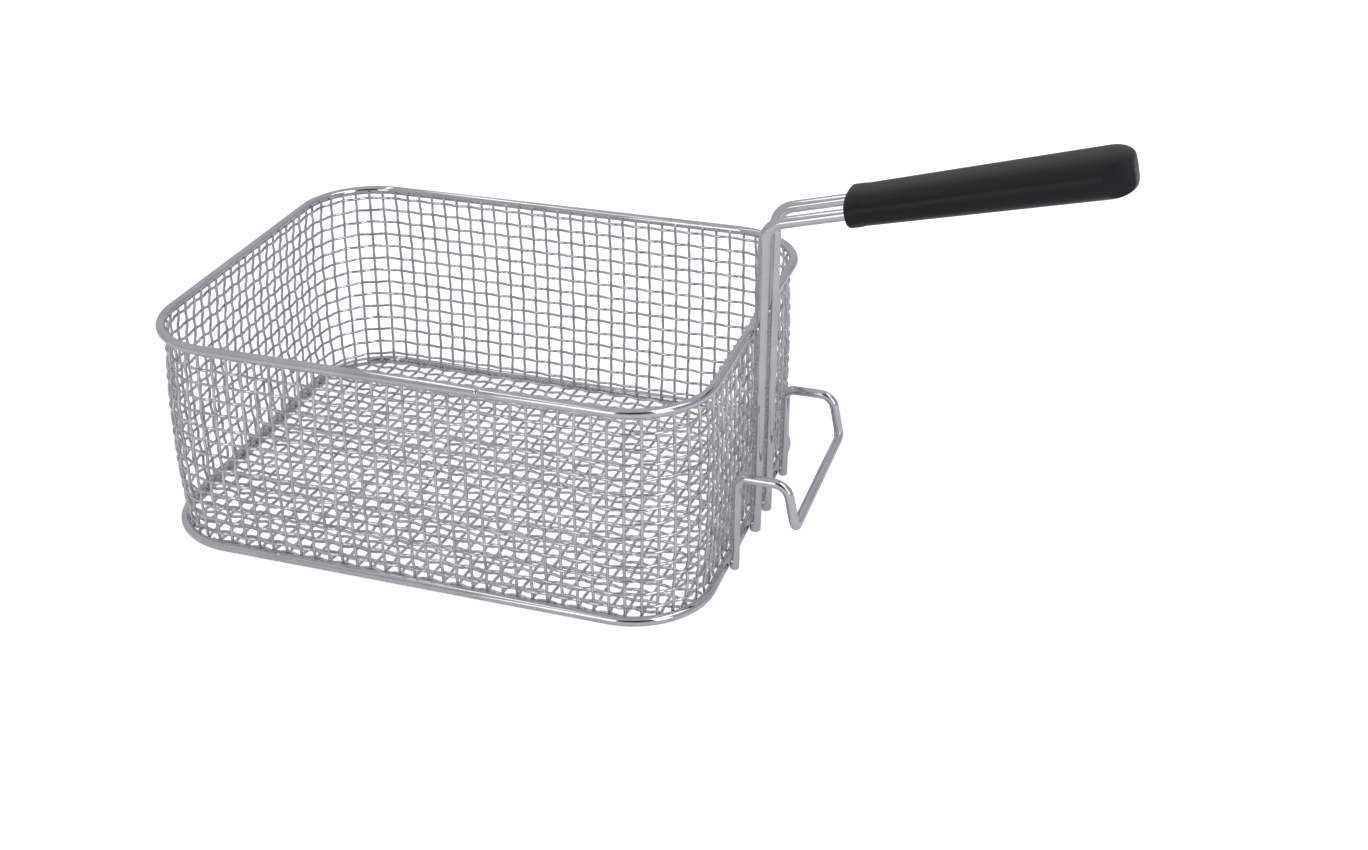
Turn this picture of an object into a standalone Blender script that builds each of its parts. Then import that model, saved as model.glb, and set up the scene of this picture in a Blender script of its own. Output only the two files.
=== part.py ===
# Deep fryer basket: woven wire mesh between two wire rings, a rear hook, two handle wires and a moulded grip.
# Metres, +Z up. +X runs from the basket to the grip, and the basket rests on its bottom ring at Z = 0.

import math

import bmesh
import bpy
from mathutils import Vector

# Rings: one wire bent to a rounded rectangle, measured between wire centres
RING_LENGTH = 0.300
RING_WIDTH = 0.236
RING_CORNER_RADIUS = 0.042
RING_WIRE = 0.005
RING_SPACING = 0.1165

# Mesh wall: one woven band inside both rings
WALL_PITCH = 0.0163
WALL_BAR = 0.0026
WALL_THICKNESS = 0.0014
WALL_CRIMP = 0.0007
WALL_BULGE = 0.0030
WALL_BULGE_RUN = 0.020

# Mesh floor: one woven panel inside the wall
FLOOR_PITCH = 0.02445
FLOOR_BAR = 0.0039
FLOOR_THICKNESS = 0.0014
FLOOR_CRIMP = 0.0007
FLOOR_SHORTEST_END = 0.002

# Hook: one bent wire with two legs on the handle wall
HOOK_WIRE = 0.005
HOOK_WIDTH = 0.103
HOOK_ARM_HEIGHT = 0.0531
HOOK_REACH = 0.0262
HOOK_DROP = 0.0242
HOOK_SPLAY = 0.0049
HOOK_LEG_BEND = 0.005
HOOK_ARM_BEND = 0.0085
HOOK_TIP_BEND = 0.0042

# Handle wires: two bent wires, side by side
HANDLE_WIRE = 0.006
HANDLE_WIRE_SPREAD = 0.023
HANDLE_HEIGHT = 0.175
HANDLE_RISE_DEG = 14.4
HANDLE_BEND = 0.0116
HANDLE_WIRE_IN_GRIP = 0.110

# Every leg on the handle wall ends this far under the centre of the bottom ring
LEG_FOOT = 0.001

# Grip: a flat oval sleeve, with sizes as half widths and half heights
GRIP_START = 0.0415
GRIP_LENGTH = 0.1356
GRIP_WALL_BESIDE_WIRE = 0.0025
GRIP_COLLAR_HALF_HEIGHT = 0.0090
GRIP_WAIST_HALF_HEIGHT = 0.00875
GRIP_TAIL_HALF_HEIGHT = 0.0106
GRIP_TAIL_FLARE = 0.0030
GRIP_COLLAR_LENGTH = 0.009
GRIP_COLLAR_STEP = 0.0032
GRIP_MOUTH_ROUND = 0.0018
GRIP_SQUARENESS = 2.5

# Grip end: rounded more in plan than in height, with a dish scooped out of each side
GRIP_END_ROUND = 0.0116
GRIP_END_ROUND_IN_PLAN = 0.0155
GRIP_END_ROUND_IN_HEIGHT = 0.0045
GRIP_DISH_RADIUS = 0.030
GRIP_DISH_START = 0.0128
GRIP_NOSE_HALF_WIDTH = 0.0085

# Pieces that touch on the real basket keep this gap
TOUCH_GAP = 0.0003

# Facets: sides of a wire and of a dish's circle, steps in a quarter turn, points and sections of the grip
WIRE_SIDES = 12
DISH_SIDES = 60
RING_CORNER_STEPS = 6
WIRE_BEND_STEPS = 4
GRIP_POINTS = 28
GRIP_STATIONS = 6

# Sizes that follow from the driving ones
RING_RADIUS = RING_WIRE / 2
BOTTOM_RING_Z = RING_RADIUS
RIM_Z = BOTTOM_RING_Z + RING_SPACING
RING_FACET_SAG = RING_CORNER_RADIUS * (1 - math.cos(math.pi / 4 / RING_CORNER_STEPS))
WALL_OUTER_INSET = RING_RADIUS + RING_FACET_SAG + TOUCH_GAP
WALL_INSET = WALL_OUTER_INSET + WALL_THICKNESS / 2 + WALL_CRIMP
FLOOR_INSET = WALL_INSET - WALL_CRIMP + WALL_THICKNESS / 2 + TOUCH_GAP
HANDLE_WALL_X = RING_LENGTH / 2 + RING_RADIUS + TOUCH_GAP
LEG_FOOT_Z = BOTTOM_RING_Z - LEG_FOOT
HANDLE_DIRECTION = Vector((math.cos(math.radians(HANDLE_RISE_DEG)), 0, math.sin(math.radians(HANDLE_RISE_DEG))))
HANDLE_CORNER = Vector((HANDLE_WALL_X + HANDLE_WIRE / 2, 0, BOTTOM_RING_Z + HANDLE_HEIGHT))
GRIP_HALF_WIDTH = HANDLE_WIRE_SPREAD / 2 + HANDLE_WIRE / 2 + GRIP_WALL_BESIDE_WIRE
GRIP_TAIL_HALF_WIDTH = GRIP_HALF_WIDTH + GRIP_TAIL_FLARE


# Scene and collections

def clear_scene():
    for item in list(bpy.data.objects):
        bpy.data.objects.remove(item, do_unlink=True)


def new_collection(name):
    collection = bpy.data.collections.new(name)
    bpy.context.scene.collection.children.link(collection)
    return collection


# Materials

def make_material(name, colour, metallic, roughness):
    material = bpy.data.materials.new(name)
    material.use_nodes = True
    shader = material.node_tree.nodes["Principled BSDF"]
    shader.inputs["Base Color"].default_value = (*colour, 1.0)
    shader.inputs["Metallic"].default_value = metallic
    shader.inputs["Roughness"].default_value = roughness
    return material


def chromed_wire(name):
    return make_material(name, (0.62, 0.63, 0.65), 1.0, 0.16)


def plated_mesh(name):
    return make_material(name, (0.50, 0.51, 0.53), 1.0, 0.30)


def black_moulding(name):
    return make_material(name, (0.020, 0.020, 0.022), 0.0, 0.42)


def finish_part(item, material, parent, smooth_deg=35):
    item.data.materials.clear()
    item.data.materials.append(material)
    item.parent = parent
    if item.type == "MESH":
        item.data.shade_smooth()
        item.data.set_sharp_from_angle(angle=math.radians(smooth_deg))
    return item


# Shapes shared by the parts

def rounded_rectangle(length, width, radius, steps):
    """Points round a rounded rectangle, anticlockwise from the +X side."""
    half_x = length / 2 - radius
    half_y = width / 2 - radius
    points = []
    for quarter, (x, y) in enumerate(((half_x, half_y), (-half_x, half_y), (-half_x, -half_y), (half_x, -half_y))):
        for step in range(steps + 1):
            angle = math.pi / 2 * (quarter + step / steps)
            points.append(Vector((x + radius * math.cos(angle), y + radius * math.sin(angle), 0)))
    return points


def bent_path(corners, radii, steps):
    """Straight runs between corners, with an arc of each radius at the corners between the ends."""
    points = [corners[0]]
    for before, corner, after, radius in zip(corners, corners[1:], corners[2:], radii):
        back = (before - corner).normalized()
        ahead = (after - corner).normalized()
        half_angle = back.angle(ahead) / 2
        turn = math.pi - 2 * half_angle
        centre = corner + (back + ahead).normalized() * radius / math.sin(half_angle)
        first = corner + back * radius / math.tan(half_angle) - centre
        last = corner + ahead * radius / math.tan(half_angle) - centre
        count = max(2, round(steps * turn / (math.pi / 2)))
        for step in range(count + 1):
            share = step / count
            weight_first = math.sin((1 - share) * turn) / math.sin(turn)
            weight_last = math.sin(share * turn) / math.sin(turn)
            points.append(centre + first * weight_first + last * weight_last)
    points.append(corners[-1])
    return points


def wire(name, points, diameter, collection, closed=False):
    """A round wire along the points: its flat sides are at the true radius, with one of them turned down."""
    curve = bpy.data.curves.new(name, "CURVE")
    curve.dimensions = "3D"
    curve.bevel_depth = diameter / 2 / math.cos(math.pi / WIRE_SIDES)
    curve.bevel_resolution = (WIRE_SIDES - 4) // 2
    curve.use_fill_caps = not closed
    spline = curve.splines.new("POLY")
    spline.points.add(len(points) - 1)
    for target, point in zip(spline.points, points):
        target.co = (*point, 1.0)
        target.tilt = math.pi / WIRE_SIDES
    spline.use_cyclic_u = closed
    spline.use_smooth = True
    item = bpy.data.objects.new(name, curve)
    collection.objects.link(item)
    return item


def mesh_object(name, build, collection):
    mesh = bpy.data.meshes.new(name)
    shape = bmesh.new()
    build(shape)
    bmesh.ops.recalc_face_normals(shape, faces=shape.faces)
    shape.to_mesh(mesh)
    shape.free()
    item = bpy.data.objects.new(name, mesh)
    collection.objects.link(item)
    return item


def thicken(item, thickness):
    solidify = item.modifiers.new("Thickness", "SOLIDIFY")
    solidify.thickness = thickness
    solidify.offset = 0
    solidify.use_even_offset = False


def face_between(shape, first, last):
    """A face over the four corners that two bar edges share."""
    shape.faces.new((first[0], first[1], last[1], last[0]))


# Rings

def make_ring(name, height, collection, parent):
    outline = rounded_rectangle(RING_LENGTH, RING_WIDTH, RING_CORNER_RADIUS, RING_CORNER_STEPS)
    points = [point + Vector((0, 0, height)) for point in outline]
    item = wire(name, points, RING_WIRE, collection, closed=True)
    return finish_part(item, chromed_wire(name + "_chrome"), parent)


# Woven wall

def wall_station(distance, half_length, half_width, radius):
    """Point and outward normal at a distance along the wall, from the middle of the handle side."""
    side = half_width - radius
    end = half_length - radius
    quarter_arc = math.pi / 2 * radius
    runs = (
        ("line", Vector((half_length, 0, 0)), Vector((0, 1, 0)), side),
        ("arc", Vector((end, side, 0)), 0.0, quarter_arc),
        ("line", Vector((end, half_width, 0)), Vector((-1, 0, 0)), 2 * end),
        ("arc", Vector((-end, side, 0)), math.pi / 2, quarter_arc),
        ("line", Vector((-half_length, side, 0)), Vector((0, -1, 0)), 2 * side),
        ("arc", Vector((-end, -side, 0)), math.pi, quarter_arc),
        ("line", Vector((-end, -half_width, 0)), Vector((1, 0, 0)), 2 * end),
        ("arc", Vector((end, -side, 0)), 1.5 * math.pi, quarter_arc),
        ("line", Vector((half_length, -side, 0)), Vector((0, 1, 0)), side),
    )
    for kind, anchor, direction, run_length in runs:
        if distance <= run_length:
            break
        distance -= run_length
    if kind == "line":
        return anchor + direction * distance, Vector((direction.y, -direction.x, 0))
    angle = direction + distance / radius
    normal = Vector((math.cos(angle), math.sin(angle), 0))
    return anchor + normal * radius, normal


def weave_side(column, row):
    """Plain weave: crossings lie in front of and behind the middle of the cloth by turns."""
    return 1 if (column + row) % 2 == 0 else -1


def wall_bulge(height):
    """The middle of the wall stands out past its edges, which are held inside the rings."""
    from_ring = min(height - BOTTOM_RING_Z, RIM_Z - height)
    return WALL_BULGE * math.sin(math.pi / 2 * min(1, from_ring / WALL_BULGE_RUN))


def build_wall(shape):
    half_length = RING_LENGTH / 2 - WALL_INSET
    half_width = RING_WIDTH / 2 - WALL_INSET
    radius = RING_CORNER_RADIUS - WALL_INSET
    girth = 4 * (half_length + half_width - 2 * radius) + 2 * math.pi * radius
    columns = 2 * round(girth / WALL_PITCH / 2)
    rows = math.floor(RING_SPACING / WALL_PITCH)
    lowest = (BOTTOM_RING_Z + RIM_Z) / 2 - (rows - 1) / 2 * WALL_PITCH
    half_bar = WALL_BAR / 2

    def bar_edge(column, height, offset):
        centre, normal = wall_station(column * girth / columns, half_length, half_width, radius)
        across = Vector((-normal.y, normal.x, 0)) * half_bar
        middle = centre + normal * (offset + wall_bulge(height)) + Vector((0, 0, height))
        return shape.verts.new(middle - across), shape.verts.new(middle + across)

    crossings = {}
    for column in range(columns):
        for row in range(rows):
            offset = weave_side(column, row) * WALL_CRIMP
            middle = lowest + row * WALL_PITCH
            under = bar_edge(column, middle - half_bar, offset)
            over = bar_edge(column, middle + half_bar, offset)
            crossings[column, row] = (under, over)
            face_between(shape, under, over)
    for column in range(columns):
        foot = bar_edge(column, BOTTOM_RING_Z, WALL_CRIMP)
        head = bar_edge(column, RIM_Z, WALL_CRIMP)
        face_between(shape, foot, crossings[column, 0][0])
        face_between(shape, crossings[column, rows - 1][1], head)
        for row in range(rows - 1):
            face_between(shape, crossings[column, row][1], crossings[column, row + 1][0])
        for row in range(rows):
            under, over = crossings[column, row]
            next_under, next_over = crossings[(column + 1) % columns, row]
            face_between(shape, (under[1], over[1]), (next_under[0], next_over[0]))


def make_wall(collection, parent):
    item = mesh_object("wall_mesh", build_wall, collection)
    thicken(item, WALL_THICKNESS)
    return finish_part(item, plated_mesh("wall_mesh_plating"), parent)


# Woven floor

def floor_reach(across, half_along, half_across, radius):
    """How far a floor bar may run from the middle, at a distance across from it."""
    into_corner = abs(across) - (half_across - radius)
    if into_corner <= 0:
        return half_along
    return half_along - radius + math.sqrt(max(0.0, radius ** 2 - into_corner ** 2))


def build_floor(shape):
    half_length = RING_LENGTH / 2 - FLOOR_INSET
    half_width = RING_WIDTH / 2 - FLOOR_INSET
    radius = RING_CORNER_RADIUS - FLOOR_INSET
    half_bar = FLOOR_BAR / 2
    columns = 2 * math.floor((half_length - half_bar) / FLOOR_PITCH) + 1
    rows = 2 * math.floor((half_width - half_bar) / FLOOR_PITCH) + 1
    column_x = [(column - (columns - 1) / 2) * FLOOR_PITCH for column in range(columns)]
    row_y = [(row - (rows - 1) / 2) * FLOOR_PITCH for row in range(rows)]

    def reach_y(x):
        return floor_reach(abs(x) + half_bar, half_width, half_length, radius)

    def reach_x(y):
        return floor_reach(abs(y) + half_bar, half_length, half_width, radius)

    def edge(first, last, height):
        return [shape.verts.new((*corner, BOTTOM_RING_Z + height)) for corner in (first, last)]

    crossings = {}
    for column, x in enumerate(column_x):
        for row, y in enumerate(row_y):
            if abs(y) + half_bar + FLOOR_SHORTEST_END > reach_y(x):
                continue
            if abs(x) + half_bar + FLOOR_SHORTEST_END > reach_x(y):
                continue
            height = weave_side(column, row) * FLOOR_CRIMP
            near = edge((x - half_bar, y - half_bar), (x + half_bar, y - half_bar), height)
            far = edge((x - half_bar, y + half_bar), (x + half_bar, y + half_bar), height)
            crossings[column, row] = (near, far)
            face_between(shape, near, far)
    for (column, row), (near, far) in crossings.items():
        x = column_x[column]
        y = row_y[row]
        if (column, row + 1) in crossings:
            face_between(shape, far, crossings[column, row + 1][0])
        else:
            tip = edge((x - half_bar, reach_y(x)), (x + half_bar, reach_y(x)), 0)
            face_between(shape, far, tip)
        if (column, row - 1) not in crossings:
            tip = edge((x - half_bar, -reach_y(x)), (x + half_bar, -reach_y(x)), 0)
            face_between(shape, tip, near)
        if (column + 1, row) in crossings:
            next_near, next_far = crossings[column + 1, row]
            face_between(shape, (near[1], far[1]), (next_near[0], next_far[0]))
        else:
            tip = edge((reach_x(y), y - half_bar), (reach_x(y), y + half_bar), 0)
            face_between(shape, (near[1], far[1]), tip)
        if (column - 1, row) not in crossings:
            tip = edge((-reach_x(y), y - half_bar), (-reach_x(y), y + half_bar), 0)
            face_between(shape, tip, (near[0], far[0]))


def make_floor(collection, parent):
    item = mesh_object("floor_mesh", build_floor, collection)
    thicken(item, FLOOR_THICKNESS)
    return finish_part(item, plated_mesh("floor_mesh_plating"), parent)


# Hook

def make_hook(collection, parent):
    leg_x = HANDLE_WALL_X + HOOK_WIRE / 2
    arm_z = BOTTOM_RING_Z + HOOK_ARM_HEIGHT
    half = (
        Vector((leg_x, -HOOK_WIDTH / 2, LEG_FOOT_Z)),
        Vector((leg_x, -HOOK_WIDTH / 2, arm_z)),
        Vector((leg_x + HOOK_REACH, -HOOK_WIDTH / 2, arm_z)),
        Vector((leg_x + HOOK_REACH + HOOK_SPLAY, -HOOK_WIDTH / 2, arm_z - HOOK_DROP)),
    )
    other_half = [Vector((point.x, -point.y, point.z)) for point in reversed(half)]
    bends = (HOOK_LEG_BEND, HOOK_ARM_BEND, HOOK_TIP_BEND)
    points = bent_path([*half, *other_half], [*bends, *reversed(bends)], WIRE_BEND_STEPS)
    item = wire("hook", points, HOOK_WIRE, collection)
    return finish_part(item, chromed_wire("hook_chrome"), parent)


# Handle wires

def make_handle_wire(name, side, collection, parent):
    offset = Vector((0, side * HANDLE_WIRE_SPREAD / 2, 0))
    foot = Vector((HANDLE_CORNER.x, 0, LEG_FOOT_Z))
    tip = HANDLE_CORNER + HANDLE_DIRECTION * (GRIP_START + HANDLE_WIRE_IN_GRIP)
    corners = [corner + offset for corner in (foot, HANDLE_CORNER, tip)]
    points = bent_path(corners, [HANDLE_BEND], WIRE_BEND_STEPS)
    item = wire(name, points, HANDLE_WIRE, collection)
    return finish_part(item, chromed_wire(name + "_chrome"), parent)


# Grip

def grip_sections():
    """Place along the grip, half width and half height, from the collar to the rounded end."""
    waist = GRIP_HALF_WIDTH - (GRIP_COLLAR_HALF_HEIGHT - GRIP_WAIST_HALF_HEIGHT)
    tail_start = GRIP_LENGTH - GRIP_END_ROUND
    sections = []
    for degrees in (90, 45, 0):
        shrink = GRIP_MOUTH_ROUND * (1 - math.cos(math.radians(degrees)))
        place = GRIP_MOUTH_ROUND * (1 - math.sin(math.radians(degrees)))
        sections.append((place, GRIP_HALF_WIDTH - shrink, GRIP_COLLAR_HALF_HEIGHT - shrink))
    sections.append((GRIP_COLLAR_LENGTH - GRIP_COLLAR_STEP, GRIP_HALF_WIDTH, GRIP_COLLAR_HALF_HEIGHT))
    sections.append((GRIP_COLLAR_LENGTH, waist, GRIP_WAIST_HALF_HEIGHT))
    for station in range(1, GRIP_STATIONS + 1):
        share = station / GRIP_STATIONS
        place = GRIP_COLLAR_LENGTH + (tail_start - GRIP_COLLAR_LENGTH) * share
        width = waist + (GRIP_TAIL_HALF_WIDTH - waist) * share
        height = GRIP_WAIST_HALF_HEIGHT + (GRIP_TAIL_HALF_HEIGHT - GRIP_WAIST_HALF_HEIGHT) * share
        sections.append((place, width, height))
    for degrees in (18, 35, 54, 70, 84):
        angle = math.radians(degrees)
        place = tail_start + GRIP_END_ROUND * math.sin(angle)
        width = GRIP_TAIL_HALF_WIDTH - GRIP_END_ROUND_IN_PLAN * (1 - math.cos(angle))
        height = GRIP_TAIL_HALF_HEIGHT - GRIP_END_ROUND_IN_HEIGHT * (1 - math.cos(angle))
        sections.append((place, width, height))
    return sections


def dish_centre():
    """Centre in plan of the circle that enters the grip's side at the dish's start and leaves at the nose."""
    entry = Vector((GRIP_LENGTH - GRIP_DISH_START, GRIP_TAIL_HALF_WIDTH))
    leave = Vector((GRIP_LENGTH, GRIP_NOSE_HALF_WIDTH))
    chord = leave - entry
    outward = Vector((-chord.y, chord.x)).normalized()
    rise = math.sqrt(GRIP_DISH_RADIUS ** 2 - (chord.length / 2) ** 2)
    return (entry + leave) / 2 + outward * rise


def build_grip(shape):
    rings = []
    for place, width, height in grip_sections():
        ring = []
        for point in range(GRIP_POINTS):
            angle = 2 * math.pi * point / GRIP_POINTS
            across = math.copysign(abs(math.cos(angle)) ** (2 / GRIP_SQUARENESS), math.cos(angle))
            up = math.copysign(abs(math.sin(angle)) ** (2 / GRIP_SQUARENESS), math.sin(angle))
            ring.append(shape.verts.new((place, width * across, height * up)))
        rings.append(ring)
    for ring, next_ring in zip(rings, rings[1:]):
        for point in range(GRIP_POINTS):
            following = (point + 1) % GRIP_POINTS
            shape.faces.new((ring[point], ring[following], next_ring[following], next_ring[point]))
    shape.faces.new(reversed(rings[0]))
    shape.faces.new(rings[-1])


def cylinder_cutter(name, radius, depth, sides, collection):
    def build(shape):
        bmesh.ops.create_cone(shape, cap_ends=True, segments=sides, radius1=radius, radius2=radius, depth=depth)

    item = mesh_object(name, build, collection)
    item.display_type = "WIRE"
    item.hide_render = True
    return item


def cut(item, cutter):
    boolean = item.modifiers.new(cutter.name, "BOOLEAN")
    boolean.operation = "DIFFERENCE"
    boolean.solver = "EXACT"
    boolean.object = cutter


def make_grip(collection, cutters, parent):
    item = mesh_object("grip", build_grip, collection)
    item.location = HANDLE_CORNER + HANDLE_DIRECTION * GRIP_START
    item.rotation_euler = (0, -math.radians(HANDLE_RISE_DEG), 0)
    bore_depth = HANDLE_WIRE_IN_GRIP + TOUCH_GAP
    bore_radius = (HANDLE_WIRE / 2 + TOUCH_GAP) / math.cos(math.pi / WIRE_SIDES)
    dish = dish_centre()
    for name, side in (("left", 1), ("right", -1)):
        bore = cylinder_cutter("bore_" + name, bore_radius, 2 * bore_depth, WIRE_SIDES, cutters)
        bore.rotation_euler = (0, math.pi / 2, 0)
        bore.location = (0, side * HANDLE_WIRE_SPREAD / 2, 0)
        bore.parent = item
        cut(item, bore)
        scoop = cylinder_cutter("dish_" + name, GRIP_DISH_RADIUS, 4 * GRIP_TAIL_HALF_HEIGHT, DISH_SIDES, cutters)
        scoop.location = (dish.x, side * dish.y, 0)
        scoop.parent = item
        cut(item, scoop)
    return finish_part(item, black_moulding("grip_moulding"), parent)


# Origin: the middle of the whole object's box in plan

def centre_in_plan(parent, parts):
    bpy.context.view_layer.update()
    graph = bpy.context.evaluated_depsgraph_get()
    lowest = math.inf
    highest = -math.inf
    for part in parts:
        evaluated = part.evaluated_get(graph)
        mesh = evaluated.to_mesh()
        places = [(evaluated.matrix_world @ vertex.co).x for vertex in mesh.vertices]
        evaluated.to_mesh_clear()
        lowest = min(lowest, *places)
        highest = max(highest, *places)
    parent.location.x = -(lowest + highest) / 2
    bpy.context.view_layer.update()


def build_basket():
    clear_scene()
    parts = new_collection("deep_fryer_basket")
    cutters = new_collection("cutters")
    origin = bpy.data.objects.new("basket_origin", None)
    parts.objects.link(origin)
    pieces = [
        make_ring("rim_ring", RIM_Z, parts, origin),
        make_ring("bottom_ring", BOTTOM_RING_Z, parts, origin),
        make_wall(parts, origin),
        make_floor(parts, origin),
        make_hook(parts, origin),
        make_handle_wire("handle_wire_left", 1, parts, origin),
        make_handle_wire("handle_wire_right", -1, parts, origin),
        make_grip(parts, cutters, origin),
    ]
    centre_in_plan(origin, pieces)


build_basket()
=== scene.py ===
import math

import bpy
import numpy as np
from mathutils import Matrix, Vector


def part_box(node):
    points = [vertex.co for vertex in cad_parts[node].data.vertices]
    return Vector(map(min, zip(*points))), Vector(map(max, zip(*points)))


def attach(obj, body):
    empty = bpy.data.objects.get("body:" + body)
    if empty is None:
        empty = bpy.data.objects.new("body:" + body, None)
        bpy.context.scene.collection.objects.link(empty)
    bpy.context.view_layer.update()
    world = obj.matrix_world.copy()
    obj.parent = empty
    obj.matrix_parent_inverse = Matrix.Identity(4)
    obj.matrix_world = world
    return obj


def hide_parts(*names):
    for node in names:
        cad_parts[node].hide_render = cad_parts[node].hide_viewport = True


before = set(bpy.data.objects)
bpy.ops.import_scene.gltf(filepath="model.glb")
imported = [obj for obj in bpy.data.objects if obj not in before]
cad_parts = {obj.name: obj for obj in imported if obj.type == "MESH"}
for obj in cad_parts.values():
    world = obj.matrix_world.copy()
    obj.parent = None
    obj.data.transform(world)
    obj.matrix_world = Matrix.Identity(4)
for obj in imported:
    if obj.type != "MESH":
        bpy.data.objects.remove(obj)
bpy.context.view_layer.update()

# Where things are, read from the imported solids
bottomLow, bottomHigh = [Vector(corner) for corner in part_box("bottom_ring")]
rimLow, rimHigh = [Vector(corner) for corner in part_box("rim_ring")]
basketMiddle = (bottomLow.x + bottomHigh.x) / 2
basketHalfLength = (bottomHigh.x - bottomLow.x) / 2
basketHalfWidth = (bottomHigh.y - bottomLow.y) / 2
bottomHeight = (bottomLow.z + bottomHigh.z) / 2
rimHeight = (rimLow.z + rimHigh.z) / 2
ringRadius = (bottomHigh.z - bottomLow.z) / 2
print("frame loaded, basket middle at x", round(basketMiddle, 4))


# Small helpers for wires

roundedEnd = (0, 35, 65)  # degrees, one circle each, from the cut face of a rounded end to its side
sharpAngle = 50  # degrees, edges beyond this stay crisp

bentWire = {
    "bendStep": 0.0006,
    "fewestBendSteps": 8,
    "straightStep": 0.006,
    "startAcross": (0.3, 1.0, 0.2),
}


def normalised(vectors):
    return vectors / np.linalg.norm(vectors, axis=-1, keepdims=True)


def basketOutline(inset, cornerRadius, distances):
    # points and outward normals round the basket, from the middle of the handle side
    halfLength = basketHalfLength - inset
    halfWidth = basketHalfWidth - inset
    radius = cornerRadius - inset
    side = halfWidth - radius
    end = halfLength - radius
    arc = math.pi / 2 * radius
    runs = [side, arc, 2 * end, arc, 2 * side, arc, 2 * end, arc, side]
    lastRun = len(runs) - 1
    starts = np.concatenate([[0], np.cumsum(runs)])
    corners = [(end, side), (-end, side), (-end, -side), (end, -side)]
    places = np.mod(distances, starts[-1])
    points = np.zeros((len(places), 2))
    normals = np.zeros((len(places), 2))
    for run in range(len(runs)):
        inside = (places >= starts[run]) & (places <= starts[run + 1])
        along = places[inside] - starts[run]
        quarter = run // 2
        if run % 2:
            turn = math.pi / 2 * quarter + along / radius
            normal = np.stack([np.cos(turn), np.sin(turn)], axis=1)
            points[inside] = np.array(corners[quarter]) + normal * radius
        else:
            turn = math.pi / 2 * quarter
            normal = np.tile([math.cos(turn), math.sin(turn)], (len(along), 1))
            forward = np.array([-math.sin(turn), math.cos(turn)])
            # the first and last run are the two halves of the handle side
            halfRun = 0 if run == 0 else side if run == lastRun else runs[run] / 2
            reach = halfWidth if quarter % 2 else halfLength
            points[inside] = normal * reach + forward * (along - halfRun)[:, None]
        normals[inside] = normal
    points[:, 0] += basketMiddle
    return points, normals, starts[-1]


def circlesRound(path, across, other, radii, sides):
    # one circle of points round each point of a wire
    angles = np.arange(sides) * 2 * math.pi / sides
    circle = across[:, None] * np.cos(angles)[None, :, None] + other[:, None] * np.sin(angles)[None, :, None]
    return path[:, None] + circle * radii[:, None, None]


def withRepeatedEnds(rows, times):
    return np.concatenate([np.repeat(rows[:1], times, 0), rows[1:-1], np.repeat(rows[-1:], times, 0)])


def wireCircles(path, acrossHint, radius, sides, endRound=0.0):
    # the circles of one open wire; a rounded end adds smaller ones
    tangents = normalised(np.gradient(path, axis=0))
    across = normalised(acrossHint - np.sum(acrossHint * tangents, axis=1)[:, None] * tangents)
    other = np.cross(tangents, across)
    radii = np.full(len(path), radius)
    if endRound:
        turns = np.radians(roundedEnd)
        size = radius - endRound * (1 - np.sin(turns))
        depth = endRound * (1 - np.cos(turns))
        first = path[0] + tangents[0] * depth[:, None]
        last = path[-1] - tangents[-1] * depth[::-1][:, None]
        path = np.concatenate([first, path[1:-1], last])
        radii = np.concatenate([size, radii[1:-1], size[::-1]])
        across = withRepeatedEnds(across, len(depth))
        other = withRepeatedEnds(other, len(depth))
    return circlesRound(path, across, other, radii, sides)


def joinCircles(name, wires, closed):
    # one mesh object from many wires, each an array of circles
    points = []
    faces = []
    caps = []
    base = 0
    for circles in wires:
        count, sides = circles.shape[:2]
        number = base + np.arange(count * sides).reshape(count, sides)
        following = np.roll(number, -1, axis=0) if closed else number[1:]
        here = number if closed else number[:-1]
        quads = np.stack([here, np.roll(here, -1, 1), np.roll(following, -1, 1), following], axis=-1)
        faces.append(quads.reshape(-1, 4))
        if not closed:
            caps.append(number[0][::-1])
            caps.append(number[-1])
        points.append(circles.reshape(-1, 3))
        base += count * sides
    points = np.concatenate(points)
    faces = np.concatenate(faces)
    loops = np.concatenate([faces.ravel(), *caps])
    sizes = np.concatenate([np.full(len(faces), 4), [len(cap) for cap in caps]]).astype(np.int32)
    starts = np.concatenate([[0], np.cumsum(sizes)[:-1]]).astype(np.int32)
    mesh = bpy.data.meshes.new(name)
    mesh.vertices.add(len(points))
    mesh.vertices.foreach_set("co", points.astype(np.float32).ravel())
    mesh.loops.add(len(loops))
    mesh.loops.foreach_set("vertex_index", loops.astype(np.int32))
    mesh.polygons.add(len(sizes))
    mesh.polygons.foreach_set("loop_start", starts)
    mesh.polygons.foreach_set("loop_total", sizes)
    mesh.update(calc_edges=True)
    mesh.validate()
    mesh.shade_smooth()
    mesh.set_sharp_from_angle(angle=math.radians(sharpAngle))
    piece = bpy.data.objects.new(name, mesh)
    bpy.context.scene.collection.objects.link(piece)
    return piece


def place(piece, material):
    # each piece stands for one solid; it gets its material and hangs from the root body
    piece.data.materials.clear()
    piece.data.materials.append(material)
    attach(piece, "root")


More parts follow.
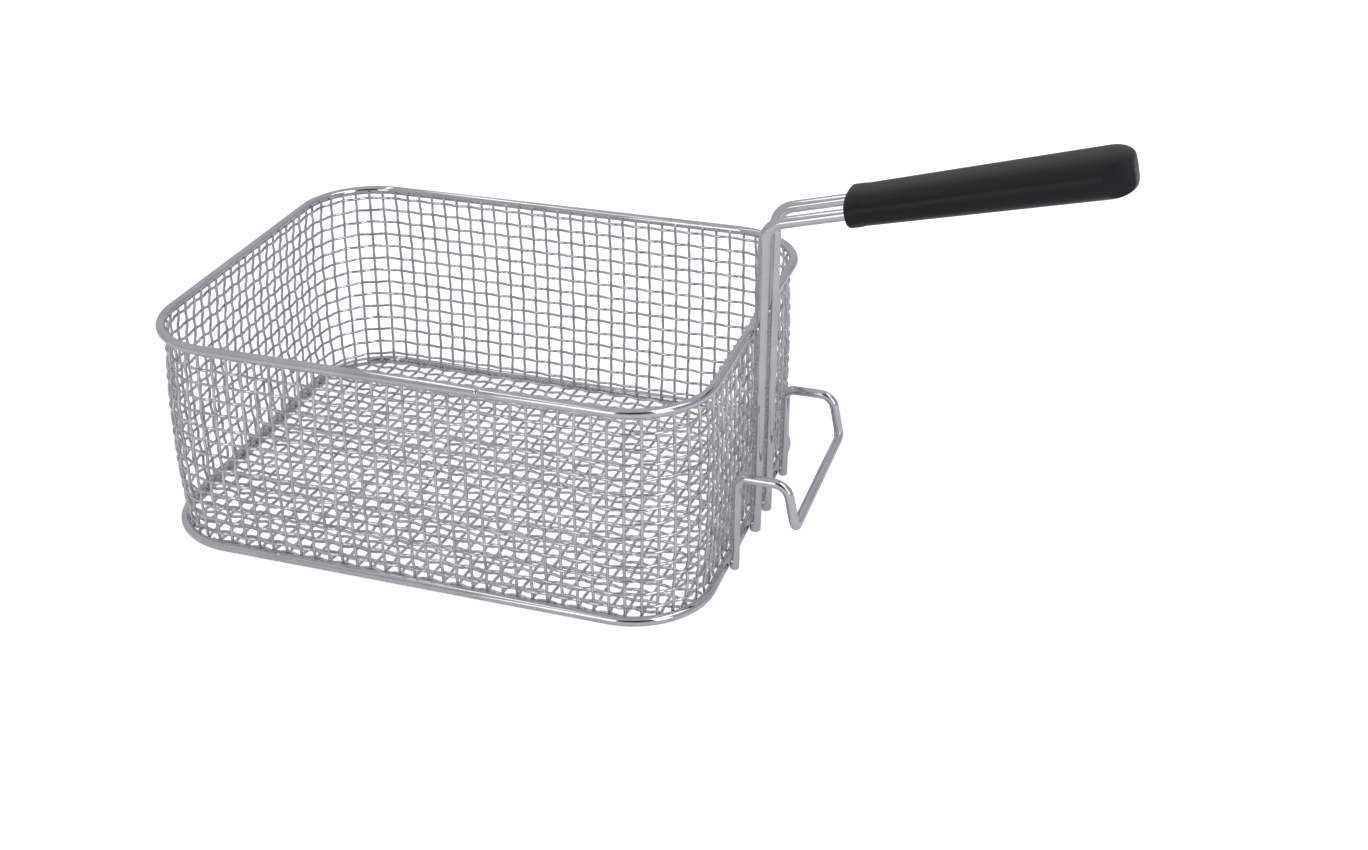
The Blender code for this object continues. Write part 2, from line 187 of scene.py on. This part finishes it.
def bentPath(corners, bends):
    # straight runs and arcs as dense points, with an across vector carried along
    points = [np.array(corners[0], float)]
    for before, corner, after, radius in zip(corners, corners[1:], corners[2:], bends):
        before, corner, after = [np.array(item, float) for item in (before, corner, after)]
        back = normalised(before - corner)
        ahead = normalised(after - corner)
        half = math.acos(np.clip(back @ ahead, -1, 1)) / 2
        turn = math.pi - 2 * half
        centre = corner + normalised(back + ahead) * radius / math.sin(half)
        first = corner + back * radius / math.tan(half) - centre
        last = corner + ahead * radius / math.tan(half) - centre
        count = max(bentWire["fewestBendSteps"], int(radius * turn / bentWire["bendStep"]))
        shares = np.linspace(0, 1, count + 1)[:, None]
        arc = (first * np.sin((1 - shares) * turn) + last * np.sin(shares * turn)) / math.sin(turn)
        points.extend(centre + arc)
    points.append(np.array(corners[-1], float))
    dense = [points[0]]
    for start, stop in zip(points, points[1:]):
        parts = max(1, int(np.linalg.norm(stop - start) / bentWire["straightStep"]))
        for part in range(1, parts + 1):
            dense.append(start + (stop - start) * part / parts)
    dense = np.array(dense)
    tangents = normalised(np.gradient(dense, axis=0))
    across = normalised(np.cross(tangents[0], bentWire["startAcross"]))
    hints = []
    for tangent in tangents:
        across = normalised(across - (across @ tangent) * tangent)
        hints.append(across)
    return dense, np.array(hints)


def applyModifiers(piece):
    bpy.context.view_layer.update()
    graph = bpy.context.evaluated_depsgraph_get()
    finished = bpy.data.meshes.new_from_object(piece.evaluated_get(graph))
    piece.modifiers.clear()
    piece.data = finished


# Finishes: patches of two tones and two glosses, and a fine grain in the surface

ringFinish = {
    "tones": ((0.62, 0.621, 0.637), (0.71, 0.711, 0.725)),
    "toneSpan": (0.32, 0.62),
    "gloss": (0.03, 0.08),
    "glossSpan": (0.35, 0.7),
    "patchScale": 55.0,
    "patchDetail": 4.0,
    "patchRoughness": 0.6,
    "grainScale": 990.0,
    "grainDetail": 2.0,
    "grainStrength": 0.25,
    "grainDepth": 0.00002,
    "metal": 1.0,
    "specular": 0.5,
}

wireFinish = {
    **ringFinish,
    "gloss": (0.05, 0.13),
    "patchScale": 38.0,
    "grainScale": 684.0,
}

meshFinish = {
    **ringFinish,
    "tones": ((0.50, 0.501, 0.512), (0.80, 0.802, 0.812)),
    "gloss": (0.05, 0.15),
    "patchScale": 140.0,
    "grainScale": 2520.0,
}

gripFinish = {
    "tones": ((0.0060, 0.0062, 0.0073), (0.0105, 0.0107, 0.0120)),
    "toneSpan": (0.35, 0.75),
    "gloss": (0.28, 0.44),
    "glossSpan": (0.0, 1.0),
    "patchScale": 26.0,
    "patchDetail": 5.0,
    "patchRoughness": 0.55,
    "grainScale": 1500.0,
    "grainDetail": 3.0,
    "grainStrength": 0.5,
    "grainDepth": 0.00004,
    "metal": 0.0,
    "specular": 0.30,
}


def addNode(tree, kind, x, y, inputs=None, **settings):
    node = tree.nodes.new(kind)
    node.location = (x, y)
    for key, value in settings.items():
        setattr(node, key, value)
    for key, value in (inputs or {}).items():
        node.inputs[key].default_value = value
    return node


def makeFinish(name, look):
    material = bpy.data.materials.new(name)
    material.use_nodes = True
    tree = material.node_tree
    link = tree.links.new
    shader = tree.nodes["Principled BSDF"]
    shader.inputs["Metallic"].default_value = look["metal"]
    shader.inputs["Specular IOR Level"].default_value = look["specular"]
    where = addNode(tree, "ShaderNodeTexCoord", -1100, 0)
    patchLook = {
        "Scale": look["patchScale"],
        "Detail": look["patchDetail"],
        "Roughness": look["patchRoughness"],
    }
    patches = addNode(tree, "ShaderNodeTexNoise", -850, 150, patchLook)
    grainLook = {"Scale": look["grainScale"], "Detail": look["grainDetail"]}
    grain = addNode(tree, "ShaderNodeTexNoise", -850, -200, grainLook)
    tones = addNode(tree, "ShaderNodeValToRGB", -550, 200)
    for element, position, tone in zip(tones.color_ramp.elements, look["toneSpan"], look["tones"]):
        element.position = position
        element.color = (*tone, 1)
    glossEnds = zip(("From Min", "From Max", "To Min", "To Max"), look["glossSpan"] + look["gloss"])
    gloss = addNode(tree, "ShaderNodeMapRange", -550, -50, dict(glossEnds))
    bumpLook = {"Strength": look["grainStrength"], "Distance": look["grainDepth"]}
    bump = addNode(tree, "ShaderNodeBump", -300, -250, bumpLook)
    link(where.outputs["Object"], patches.inputs["Vector"])
    link(where.outputs["Object"], grain.inputs["Vector"])
    link(patches.outputs["Fac"], tones.inputs["Fac"])
    link(patches.outputs["Fac"], gloss.inputs["Value"])
    link(grain.outputs["Fac"], bump.inputs["Height"])
    link(tones.outputs["Color"], shader.inputs["Base Color"])
    link(gloss.outputs["Result"], shader.inputs["Roughness"])
    link(bump.outputs["Normal"], shader.inputs["Normal"])
    return material


ringChrome = makeFinish("ringChrome", ringFinish)
wireChrome = makeFinish("wireChrome", wireFinish)
meshPlating = makeFinish("meshPlating", meshFinish)
gripPlastic = makeFinish("gripPlastic", gripFinish)
print("finishes ready")


# The two rings
ring = {
    "wire": 0.005,
    "cornerRadius": 0.042,
    "sides": 32,
    "stepLength": 0.0025,
}

# the butt welds, measured round each ring from the middle of the handle side
rimWeld = {"place": 0.794, "width": 0.0005, "depth": 0.0003}
bottomWeld = {"place": 0.6758, "width": 0.0012, "depth": 0.00015}

# the circles at a weld, in widths of the weld: reach of the close ones, and where the usual ones start
weldCircles = {"reach": 3, "count": 13, "clear": 4}

outerCorner = ring["cornerRadius"] + ringRadius


def buildRing(name, node, height, weld):
    girth = basketOutline(ringRadius, outerCorner, np.array([0.0]))[2]
    usual = np.linspace(0, girth, int(girth / ring["stepLength"]), endpoint=False)
    usual = usual[np.abs(usual - weld["place"]) > weldCircles["clear"] * weld["width"]]
    spread = np.linspace(-weldCircles["reach"], weldCircles["reach"], weldCircles["count"])
    distances = np.sort(np.concatenate([usual, weld["place"] + weld["width"] * spread]))
    steps = len(distances)
    flat, outward, _ = basketOutline(ringRadius, outerCorner, distances)
    path = np.column_stack([flat, np.full(steps, height)])
    across = np.column_stack([outward, np.zeros(steps)])
    tangents = np.column_stack([-outward[:, 1], outward[:, 0], np.zeros(steps)])
    groove = weld["depth"] * np.exp(-((distances - weld["place"]) / weld["width"]) ** 2)
    radii = ring["wire"] / 2 - groove
    circles = circlesRound(path, across, np.cross(tangents, across), radii, ring["sides"])
    piece = joinCircles(name, [circles], closed=True)
    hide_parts(node)
    place(piece, ringChrome)


buildRing("rimRing", "rim_ring", rimHeight, rimWeld)
buildRing("bottomRing", "bottom_ring", bottomHeight, bottomWeld)
print("rings ready")


# The woven wall
wall = {
    "wire": 0.0016,
    "pitch": 0.00816,
    "uprightCrimp": 0.00030,
    "roundCrimp": 0.00040,
    "firstUpright": 0.0102,
    "inset": 0.0031,
    "bulge": 0.0024,
    "bulgeToFront": 0.0006,
    "bulgeRun": 0.050,
    "rounds": 14,
    "firstBelowRim": 0.0042,
    "stepsPerPitch": 7,
    "sides": 8,
    "unevenness": 0.00008,
    "uprightSway": 60,
    "roundSway": 45,
    "roundSwayShift": 2,
    "chance": 4,
}

crimpSharpness = 2.4

wallInset = wall["inset"] + ringRadius
wallGirth = basketOutline(wallInset, outerCorner, np.array([0.0]))[2]
uprightCount = 2 * round(wallGirth / wall["pitch"] / 2)
uprightPitch = wallGirth / uprightCount
roundHeights = rimHeight - wall["firstBelowRim"] - np.arange(wall["rounds"])[::-1] * wall["pitch"]


def crimpWave(phase):
    # a wire that lies flat over and under its neighbours and steps sharply between them
    return np.tanh(crimpSharpness * np.cos(phase * math.pi))


def wallBulge(heights, outward):
    # the middle of the wall stands out past its held edges, less on the stiffer handle side
    fromRing = np.minimum(heights - bottomHeight, rimHeight - heights)
    rise = np.sin(math.pi / 2 * np.clip(fromRing / wall["bulgeRun"], 0, 1))
    return rise * (wall["bulge"] - wall["bulgeToFront"] * outward[..., 0])


def buildUprights(shifts):
    wires = []
    steps = int((rimHeight - bottomHeight) / wall["pitch"] * wall["stepsPerPitch"])
    heights = np.linspace(bottomHeight, rimHeight, steps)
    for upright in range(uprightCount):
        distance = wall["firstUpright"] + upright * uprightPitch + shifts[upright]
        flat, outward, _ = basketOutline(wallInset, outerCorner, np.array([distance]))
        phase = (heights - roundHeights[0]) / wall["pitch"] + upright
        offset = wall["uprightCrimp"] * crimpWave(phase) + wallBulge(heights, outward[0])
        sway = np.sin(heights * wall["uprightSway"] + upright) * wall["unevenness"]
        along = np.array([-outward[0, 1], outward[0, 0]])
        path = np.zeros((steps, 3))
        path[:, :2] = flat[0] + offset[:, None] * outward[0] + sway[:, None] * along
        path[:, 2] = heights
        hints = np.tile([along[0], along[1], 0.0], (steps, 1))
        wires.append(wireCircles(path, hints, wall["wire"] / 2, wall["sides"]))
    piece = joinCircles("wallUprights", wires, closed=False)
    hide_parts("wall_mesh")
    place(piece, meshPlating)


def buildRounds(shifts):
    wires = []
    steps = uprightCount * wall["stepsPerPitch"]
    distances = np.arange(steps) * wallGirth / steps
    flat, outward, _ = basketOutline(wallInset, outerCorner, distances)
    up = np.tile([0.0, 0.0, 1.0], (steps, 1))
    radii = np.full(steps, wall["wire"] / 2)
    for turn, height in enumerate(roundHeights):
        phase = (distances - wall["firstUpright"]) / uprightPitch + turn
        offset = wallBulge(np.full(steps, height), outward) - wall["roundCrimp"] * crimpWave(phase)
        sway = np.sin(distances * wall["roundSway"] + turn * wall["roundSwayShift"]) * wall["unevenness"]
        path = np.zeros((steps, 3))
        path[:, :2] = flat + offset[:, None] * outward
        path[:, 2] = height + shifts[turn] + sway
        tangents = normalised(np.roll(path, -1, axis=0) - np.roll(path, 1, axis=0))
        across = normalised(np.cross(tangents, up))
        wires.append(circlesRound(path, up, across, radii, wall["sides"]))
    piece = joinCircles("wallRounds", wires, closed=True)
    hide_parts("wall_mesh")
    place(piece, meshPlating)


wallChance = np.random.default_rng(wall["chance"])
roundShifts = wallChance.normal(0, wall["unevenness"], wall["rounds"])
uprightShifts = wallChance.normal(0, wall["unevenness"], uprightCount)
buildUprights(uprightShifts)
buildRounds(roundShifts)
print("woven wall ready")


# The woven floor
floorPanel = {
    "wire": 0.0016,
    "inset": 0.0036,
    "stepsPerPitch": 8,
    "sides": 8,
    "unevenness": 0.00008,
    "sway": 50,
    "chance": 9,
}

floorWires = [
    # wires are counted from the one near the basket's middle, which lies off it by shift
    {"name": "floorLengthwise", "pitch": 0.00807, "shift": 0.0, "first": -14, "last": 14, "crimp": -0.0004},
    {"name": "floorCrosswise", "pitch": 0.00816, "shift": 0.00115, "first": -18, "last": 17, "crimp": 0.0003},
]


def floorReach(across, halfAlong, halfAcross, radius):
    # how far a wire runs before it meets the panel's edge, shorter in the rounded corners
    intoCorner = abs(across) - (halfAcross - radius)
    if intoCorner <= 0:
        return halfAlong
    return halfAlong - radius + math.sqrt(max(0.0, radius ** 2 - intoCorner ** 2))


def buildFloor():
    chance = np.random.default_rng(floorPanel["chance"])
    inset = floorPanel["inset"] + ringRadius
    halfLength = basketHalfLength - inset
    halfWidth = basketHalfWidth - inset
    radius = ring["cornerRadius"] - floorPanel["inset"]
    # each way's wires, with the wires that they cross
    for wires, crossed in (floorWires, floorWires[::-1]):
        lengthwise = wires["name"] == "floorLengthwise"
        halfAlong, halfAcross = (halfLength, halfWidth) if lengthwise else (halfWidth, halfLength)
        circles = []
        for order in range(wires["first"], wires["last"] + 1):
            across = wires["shift"] + order * wires["pitch"] + chance.normal(0, floorPanel["unevenness"])
            reach = floorReach(across, halfAlong, halfAcross, radius)
            steps = int(2 * reach / crossed["pitch"] * floorPanel["stepsPerPitch"])
            along = np.linspace(-reach, reach, steps)
            phase = (along - crossed["shift"]) / crossed["pitch"] + order
            swaying = across + np.sin(along * floorPanel["sway"] + order) * floorPanel["unevenness"]
            path = np.zeros((steps, 3))
            path[:, 0] = basketMiddle + (along if lengthwise else swaying)
            path[:, 1] = swaying if lengthwise else along
            path[:, 2] = bottomHeight + wires["crimp"] * crimpWave(phase)
            hints = np.tile([0.0, 1.0, 0.0] if lengthwise else [1.0, 0.0, 0.0], (steps, 1))
            circles.append(wireCircles(path, hints, floorPanel["wire"] / 2, floorPanel["sides"]))
        piece = joinCircles(wires["name"], circles, closed=False)
        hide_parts("floor_mesh")
        place(piece, meshPlating)


buildFloor()
print("woven floor ready")


# Hook and handle wires, on the outside of both rings
legs = {
    "gap": 0.0003,
    "footDrop": 0.001,
}

hook = {
    "wire": 0.005,
    "width": 0.103,
    "armHeight": 0.0531,
    "reach": 0.0262,
    "drop": 0.0242,
    "splay": 0.0049,
    "legBend": 0.005,
    "armBend": 0.0085,
    "tipBend": 0.0042,
    "endRound": 0.0008,
    "sides": 28,
}

handle = {
    "wire": 0.006,
    "spread": 0.023,
    "height": 0.175,
    "riseDegrees": 14.4,
    "bend": 0.0116,
    "intoGrip": 0.1515,
    "endRound": 0.0008,
    "sides": 32,
}

footHeight = bottomHeight - legs["footDrop"]
handleX = bottomHigh.x + legs["gap"] + handle["wire"] / 2
handleTop = bottomHeight + handle["height"]
handleRise = math.radians(handle["riseDegrees"])


def buildHook():
    legX = bottomHigh.x + legs["gap"] + hook["wire"] / 2
    armZ = bottomHeight + hook["armHeight"]
    half = [
        (legX, -hook["width"] / 2, footHeight),
        (legX, -hook["width"] / 2, armZ),
        (legX + hook["reach"], -hook["width"] / 2, armZ),
        (legX + hook["reach"] + hook["splay"], -hook["width"] / 2, armZ - hook["drop"]),
    ]
    otherHalf = [(x, -y, z) for x, y, z in reversed(half)]
    bends = [hook["legBend"], hook["armBend"], hook["tipBend"]]
    path, hints = bentPath(half + otherHalf, bends + bends[::-1])
    circles = wireCircles(path, hints, hook["wire"] / 2, hook["sides"], hook["endRound"])
    piece = joinCircles("hookWire", [circles], closed=False)
    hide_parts("hook")
    place(piece, wireChrome)


def buildHandleWire(name, node, side):
    y = side * handle["spread"] / 2
    tipX = handleX + handle["intoGrip"] * math.cos(handleRise)
    tipZ = handleTop + handle["intoGrip"] * math.sin(handleRise)
    corners = [(handleX, y, footHeight), (handleX, y, handleTop), (tipX, y, tipZ)]
    path, hints = bentPath(corners, [handle["bend"]])
    circles = wireCircles(path, hints, handle["wire"] / 2, handle["sides"], handle["endRound"])
    piece = joinCircles(name, [circles], closed=False)
    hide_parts(node)
    place(piece, wireChrome)


buildHook()
buildHandleWire("handleWireLeft", "handle_wire_left", 1)
buildHandleWire("handleWireRight", "handle_wire_right", -1)
print("hook and handle wires ready")


# The moulded grip
grip = {
    "start": 0.0415,
    "length": 0.1356,
    "halfWidth": 0.0170,
    "collarHeight": 0.0090,
    "waistHeight": 0.00875,
    "tailHeight": 0.0106,
    "tailFlare": 0.0030,
    "collarLength": 0.009,
    "collarStep": 0.0032,
    "mouthRound": 0.0018,
    "endRound": 0.0116,
    "endRoundInPlan": 0.0155,
    "endRoundInHeight": 0.0045,
    "endRoundDegrees": 84,
    "dishRadius": 0.030,
    "dishStart": 0.0128,
    "dishSides": 128,
    "dishTool": 0.06,
    "noseHalfWidth": 0.0085,
    "dishEdge": 0.0013,
    "dishEdgeSteps": 3,
    "dishEdgeDegrees": 28,
    "crispDegrees": 60,
    "squareness": 2.5,
    "points": 96,
    "mouthSteps": 9,
    "collarSteps": 9,
    "bodySteps": 40,
    "endSteps": 15,
}


def gripProfile():
    # place along the grip, half width and half height
    waist = grip["halfWidth"] - (grip["collarHeight"] - grip["waistHeight"])
    tailWidth = grip["halfWidth"] + grip["tailFlare"]
    tailStart = grip["length"] - grip["endRound"]
    rows = []
    for turn in np.radians(np.linspace(0, 90, grip["mouthSteps"])):
        shrink = grip["mouthRound"] * (1 - math.sin(turn))
        along = grip["mouthRound"] * (1 - math.cos(turn))
        rows.append((along, grip["halfWidth"] - shrink, grip["collarHeight"] - shrink))
    for share in np.linspace(0, 1, grip["collarSteps"]):
        ease = share * share * (3 - 2 * share)
        width = grip["halfWidth"] + (waist - grip["halfWidth"]) * ease
        height = grip["collarHeight"] + (grip["waistHeight"] - grip["collarHeight"]) * ease
        rows.append((grip["collarLength"] - grip["collarStep"] * (1 - share), width, height))
    for share in np.linspace(0, 1, grip["bodySteps"])[1:]:
        along = grip["collarLength"] + (tailStart - grip["collarLength"]) * share
        width = waist + (tailWidth - waist) * share
        height = grip["waistHeight"] + (grip["tailHeight"] - grip["waistHeight"]) * share
        rows.append((along, width, height))
    for turn in np.radians(np.linspace(0, grip["endRoundDegrees"], grip["endSteps"]))[1:]:
        width = tailWidth - grip["endRoundInPlan"] * (1 - math.cos(turn))
        height = grip["tailHeight"] - grip["endRoundInHeight"] * (1 - math.cos(turn))
        rows.append((tailStart + grip["endRound"] * math.sin(turn), width, height))
    return rows


def dishCentre():
    # middle of the circle that scoops the grip's side from the dish's start to the nose
    entry = Vector((grip["length"] - grip["dishStart"], grip["halfWidth"] + grip["tailFlare"]))
    leave = Vector((grip["length"], grip["noseHalfWidth"]))
    chord = leave - entry
    outward = Vector((-chord.y, chord.x)).normalized()
    return (entry + leave) / 2 + outward * math.sqrt(grip["dishRadius"] ** 2 - (chord.length / 2) ** 2)


def cutDish(piece, start, side):
    bpy.ops.mesh.primitive_cylinder_add(
        vertices=grip["dishSides"], radius=grip["dishRadius"], depth=grip["dishTool"])
    cutter = bpy.context.object
    dish = dishCentre()
    turnToGrip = Matrix.Rotation(-handleRise, 4, "Y")
    offset = Vector((dish.x, side * dish.y, 0))
    cutter.matrix_world = Matrix.Translation(Vector(start)) @ turnToGrip @ Matrix.Translation(offset)
    bpy.context.view_layer.update()
    scoop = piece.modifiers.new("dish", "BOOLEAN")
    scoop.object = cutter
    scoop.operation = "DIFFERENCE"
    scoop.solver = "EXACT"
    applyModifiers(piece)
    bpy.data.objects.remove(cutter, do_unlink=True)


def buildGrip():
    direction = np.array([math.cos(handleRise), 0, math.sin(handleRise)])
    upward = np.array([-math.sin(handleRise), 0, math.cos(handleRise)])
    start = np.array([handleX, 0, handleTop]) + direction * grip["start"]
    angles = np.arange(grip["points"]) * 2 * math.pi / grip["points"]
    across = np.sign(np.cos(angles)) * np.abs(np.cos(angles)) ** (2 / grip["squareness"])
    up = np.sign(np.sin(angles)) * np.abs(np.sin(angles)) ** (2 / grip["squareness"])
    outlines = []
    for along, width, height in gripProfile():
        middle = start + direction * along
        outlines.append(middle + np.outer(across * width, [0, 1, 0]) + np.outer(up * height, upward))
    piece = joinCircles("handleGrip", [np.array(outlines)], closed=False)
    for side in (1, -1):
        cutDish(piece, start, side)
    softEdge = piece.modifiers.new("softEdge", "BEVEL")
    softEdge.width = grip["dishEdge"]
    softEdge.segments = grip["dishEdgeSteps"]
    softEdge.limit_method = "ANGLE"
    softEdge.angle_limit = math.radians(grip["dishEdgeDegrees"])
    applyModifiers(piece)
    piece.data.shade_smooth()
    piece.data.set_sharp_from_angle(angle=math.radians(grip["crispDegrees"]))
    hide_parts("grip")
    place(piece, gripPlastic)


buildGrip()
print("grip ready")


# Studio: pale floor, soft lamps and the camera at the photo's angle
studio = {
    "floorSize": 14.0,
    "floorDrop": 0.0001,
    "floorColour": (0.80, 0.80, 0.80),
    "floorGlow": 0.78,
    "glossGlow": 0.12,
    "nearFloor": (0.44, 0.443, 0.46),
    "halfUp": (0.51, 0.512, 0.525),
    "halfUpAt": 0.35,
    "overhead": (0.52, 0.521, 0.53),
    "coolSide": (0.74, 0.79, 0.86),
    "coolSpan": (0.1, 0.8),
}

darkSpots = [
    # name, direction from the basket, inner and outer degrees, light left there
    ("behindCamera", (0.301, -0.783, 0.545), 19.0, 24.0, 0.14),
    ("besideSoftbox", (-0.368, -0.754, 0.545), 1.5, 6.0, 0.35),
]

softboxes = [
    # name, place, aimed at, turn, width, height, brightness, colour; places are from the basket's middle
    ("softboxFrontLeft", (-0.188, -1.394, 0.62), (0.06, -0.118, 0.62), 0, 0.46, 1.06, 1.10, (1.0, 1.0, 1.0)),
    ("panelFrontRight", (1.136, -0.764, 0.83), (0.13, -0.11, 0.83), 0, 0.49, 1.45, 1.6, (0.97, 0.985, 1.0)),
    ("panelAboveRight", (0.84, -0.135, 1.21), (0.13, -0.11, 0.12), 0, 0.90, 0.50, 1.6, (0.95, 0.975, 1.0)),
    ("stripAbove", (-0.590, -0.20, 1.62), (-0.590, -0.20, 0.0), -81, 1.68, 0.12, 1.25, (1.0, 1.0, 1.0)),
]

photoCamera = {
    # measured on the photo, from the middle of the basket at the bottom ring's height
    "place": (0.3565, -0.8236, 0.5115),
    "right": (0.93832, 0.3451, -0.02135),
    "down": (0.13725, -0.42844, -0.89309),
    "lens": 47.54,
    "sensor": 36.0,
    "shiftX": 0.0877,
    "shiftY": -0.0352,
    "nearest": 0.01,
    "farthest": 50.0,
}


def buildFloorStage():
    # takes the shadow, glows to white for the camera and a little in the metal
    half = studio["floorSize"] / 2
    mesh = bpy.data.meshes.new("studioFloor")
    corners = [(-half, -half, 0), (half, -half, 0), (half, half, 0), (-half, half, 0)]
    mesh.from_pydata(corners, [], [(0, 1, 2, 3)])
    stage = bpy.data.objects.new("studioFloor", mesh)
    stage.location.z = -studio["floorDrop"]
    bpy.context.scene.collection.objects.link(stage)
    material = bpy.data.materials.new("studioFloor")
    material.use_nodes = True
    tree = material.node_tree
    link = tree.links.new
    tree.nodes.clear()
    rays = addNode(tree, "ShaderNodeLightPath", -600, 0)
    inMetal = addNode(tree, "ShaderNodeMath", -400, -150, {1: studio["glossGlow"]}, operation="MULTIPLY")
    strength = addNode(tree, "ShaderNodeMath", -200, 0, {1: studio["floorGlow"]}, operation="MULTIPLY_ADD")
    diffuse = addNode(tree, "ShaderNodeBsdfDiffuse", 0, 150, {"Color": (*studio["floorColour"], 1)})
    glow = addNode(tree, "ShaderNodeEmission", 0, -50)
    both = addNode(tree, "ShaderNodeAddShader", 200, 50)
    output = addNode(tree, "ShaderNodeOutputMaterial", 400, 50)
    link(rays.outputs["Is Glossy Ray"], inMetal.inputs[0])
    link(rays.outputs["Is Camera Ray"], strength.inputs[0])
    link(inMetal.outputs[0], strength.inputs[2])
    link(strength.outputs[0], glow.inputs["Strength"])
    link(diffuse.outputs[0], both.inputs[0])
    link(glow.outputs[0], both.inputs[1])
    link(both.outputs[0], output.inputs["Surface"])
    mesh.materials.append(material)


def buildWorld():
    # white for the camera, and a grey room with dark spots for the metal to mirror
    world = bpy.data.worlds.new("studioWorld")
    bpy.context.scene.world = world
    world.use_nodes = True
    tree = world.node_tree
    link = tree.links.new
    tree.nodes.clear()
    directions = addNode(tree, "ShaderNodeTexCoord", -1400, 0)
    parts = addNode(tree, "ShaderNodeSeparateXYZ", -1200, 200)
    tones = addNode(tree, "ShaderNodeValToRGB", -1000, 300)
    tones.color_ramp.elements.new(studio["halfUpAt"])
    for element, level in zip(tones.color_ramp.elements, ("nearFloor", "halfUp", "overhead")):
        element.color = (*studio[level], 1)
    # the right of the room is a little bluer
    coolFrom, coolTo = studio["coolSpan"]
    toTheRight = addNode(tree, "ShaderNodeMapRange", -1000, 50, {"From Min": coolFrom, "From Max": coolTo})
    cooler = addNode(tree, "ShaderNodeMix", -700, 200, {"B": (*studio["coolSide"], 1)},
                     data_type="RGBA", blend_type="MULTIPLY")
    room = addNode(tree, "ShaderNodeBackground", -200, 100)
    white = addNode(tree, "ShaderNodeBackground", -200, -100, {"Color": (1, 1, 1, 1), "Strength": 1.0})
    rays = addNode(tree, "ShaderNodeLightPath", -200, 450)
    choose = addNode(tree, "ShaderNodeMixShader", 0, 0)
    output = addNode(tree, "ShaderNodeOutputWorld", 200, 0)
    link(directions.outputs["Generated"], parts.inputs["Vector"])
    link(parts.outputs["Z"], tones.inputs["Fac"])
    link(parts.outputs["X"], toTheRight.inputs["Value"])
    link(toTheRight.outputs["Result"], cooler.inputs["Factor"])
    link(tones.outputs["Color"], cooler.inputs["A"])
    link(cooler.outputs["Result"], room.inputs["Color"])
    light = None
    for order, (name, direction, inner, outer, left) in enumerate(darkSpots):
        y = -200 - order * 300
        towards = addNode(tree, "ShaderNodeVectorMath", -1000, y, {1: Vector(direction).normalized()},
                          operation="DOT_PRODUCT", label=name)
        edges = {"From Min": math.cos(math.radians(outer)), "From Max": math.cos(math.radians(inner))}
        fade = addNode(tree, "ShaderNodeMapRange", -800, y, {**edges, "To Min": 1.0, "To Max": left})
        joined = addNode(tree, "ShaderNodeMath", -600, y, {1: 1.0}, operation="MULTIPLY")
        link(directions.outputs["Generated"], towards.inputs[0])
        link(towards.outputs["Value"], fade.inputs["Value"])
        link(fade.outputs["Result"], joined.inputs[0])
        if light:
            link(light, joined.inputs[1])
        light = joined.outputs[0]
    link(light, room.inputs["Strength"])
    link(rays.outputs["Is Camera Ray"], choose.inputs[0])
    link(room.outputs[0], choose.inputs[1])
    link(white.outputs[0], choose.inputs[2])
    link(choose.outputs[0], output.inputs["Surface"])


def buildSoftboxes():
    for name, location, target, turn, width, height, brightness, colour in softboxes:
        lamp = bpy.data.lights.new(name, "AREA")
        lamp.shape = "RECTANGLE"
        lamp.size = width
        lamp.size_y = height
        lamp.energy = brightness * math.pi * width * height
        lamp.color = colour
        item = bpy.data.objects.new(name, lamp)
        item.location = Vector(location) + Vector((basketMiddle, 0, 0))
        aim = (Vector(target) - Vector(location)).to_track_quat("-Z", "Y")
        item.rotation_euler = (aim.to_matrix() @ Matrix.Rotation(math.radians(turn), 3, "Z")).to_euler()
        bpy.context.scene.collection.objects.link(item)


def buildCamera():
    data = bpy.data.cameras.new("photoCamera")
    data.lens = photoCamera["lens"]
    data.sensor_width = photoCamera["sensor"]
    data.shift_x = photoCamera["shiftX"]
    data.shift_y = photoCamera["shiftY"]
    data.clip_start = photoCamera["nearest"]
    data.clip_end = photoCamera["farthest"]
    camera = bpy.data.objects.new("photoCamera", data)
    right = Vector(photoCamera["right"])
    up = -Vector(photoCamera["down"])
    back = right.cross(up)
    turn = Matrix((right, up, back)).transposed().to_4x4()
    spot = Vector(photoCamera["place"]) + Vector((basketMiddle, 0, bottomHeight))
    camera.matrix_world = Matrix.Translation(spot) @ turn
    bpy.context.scene.collection.objects.link(camera)
    bpy.context.scene.camera = camera


buildFloorStage()
buildWorld()
buildSoftboxes()
buildCamera()
bpy.context.scene.view_settings.view_transform = "Standard"
print("studio ready")
